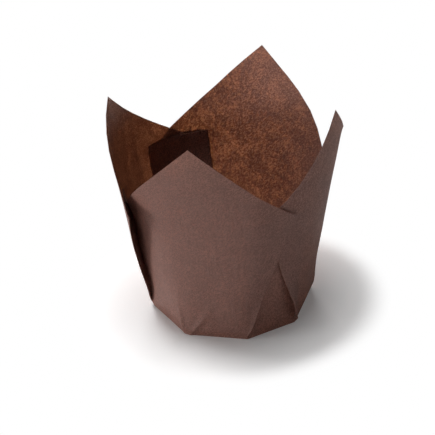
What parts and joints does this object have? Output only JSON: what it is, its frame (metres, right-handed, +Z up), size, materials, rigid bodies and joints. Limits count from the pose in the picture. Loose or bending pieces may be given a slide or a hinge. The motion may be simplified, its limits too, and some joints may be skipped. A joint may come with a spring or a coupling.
{
  "type": "cupcake liner",
  "caption": "Tulip-shaped paper liner for baking a cupcake, folded from a square of brown greaseproof paper, with a flat base, pointed petals and overlapping pleats.",
  "frame": {"origin": "centre of the underside of the flat base", "axes": "+Z up, out of the cup's mouth; -Y towards the front petal, +X towards the right petal"},
  "size_m": [0.0765, 0.0843, 0.0794],
  "materials": {
    "paper": "matte, slightly translucent"
  },
  "bodies": {
    "root": {"liner": "paper"}
  },
  "joints": []
}
